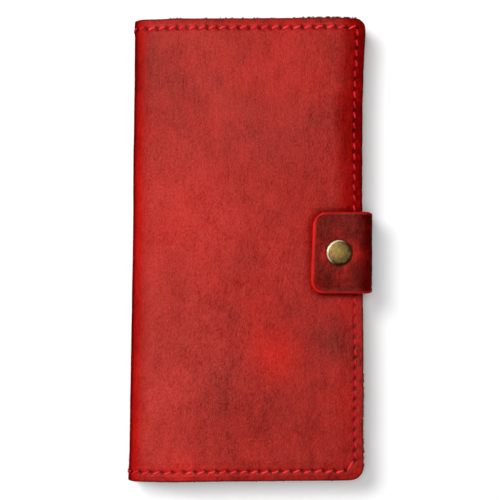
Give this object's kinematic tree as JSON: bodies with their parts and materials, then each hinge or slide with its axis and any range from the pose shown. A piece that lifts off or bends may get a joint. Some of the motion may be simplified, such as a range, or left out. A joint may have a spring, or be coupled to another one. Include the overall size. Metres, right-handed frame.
{
  "type": "phone wallet case",
  "caption": "Closed book-style leather phone wallet with a stitched edge and a strap tab that snaps over the free edge.",
  "frame": {"origin": "middle of the closed wallet's back face, on the surface it rests on", "axes": "+X from the spine to the free edge, +Y up the wallet's height, +Z from the back cover to the front cover"},
  "size_m": [0.0954, 0.184, 0.0254],
  "materials": {
    "outer_leather": "waxed pull-up, red, slightly mottled",
    "inner_leather": "matte red lining leather",
    "strap_leather": "waxed, darker where it bends",
    "thread": "bright red waxed thread",
    "antique_brass": "antique, brushed",
    "spring_steel": "bright wire"
  },
  "bodies": {
    "back": {"back_cover": "outer_leather", "phone_pocket": "inner_leather", "strap_base": "strap_leather", "back_seam_thread": "thread", "strap_seam_thread": "thread"},
    "spine": {"spine": "outer_leather", "spine_liner": "inner_leather", "spine_seam_thread": "thread"},
    "front": {"front_cover": "outer_leather", "banknote_pocket": "inner_leather", "card_pocket_rear": "inner_leather", "card_pocket_middle": "inner_leather", "card_pocket_front": "inner_leather", "front_seam_thread": "thread", "card_divider_thread": "thread", "snap_stud": "antique_brass", "snap_post": "antique_brass"},
    "strap_wrap": {"strap_wrap": "strap_leather"},
    "strap_tab": {"strap_tab": "strap_leather", "snap_cap": "antique_brass", "snap_socket": "antique_brass", "snap_spring": "spring_steel"}
  },
  "joints": [
    {"name": "back_fold", "type": "hinge", "parent": "back", "child": "spine", "pos_m": [-0.04454, 0, 0.00146], "axis": [0, -1, 0], "range_deg": [0, 90]},
    {"name": "front_fold", "type": "hinge", "parent": "spine", "child": "front", "pos_m": [-0.04454, 0, 0.01794], "axis": [0, -1, 0], "range_deg": [0, 90]},
    {"name": "strap_wrap", "type": "hinge", "parent": "back", "child": "strap_wrap", "pos_m": [0.04842, -0.0013, 0.00178], "axis": [0, 1, 0], "range_deg": [0, 90]},
    {"name": "strap_tab", "type": "hinge", "parent": "strap_wrap", "child": "strap_tab", "pos_m": [0.04842, -0.0013, 0.02272], "axis": [0, 1, 0], "range_deg": [0, 90]}
  ],
  "couplings": [
    {"joint": "front_fold", "follows": "back_fold", "ratio": 1}
  ]
}
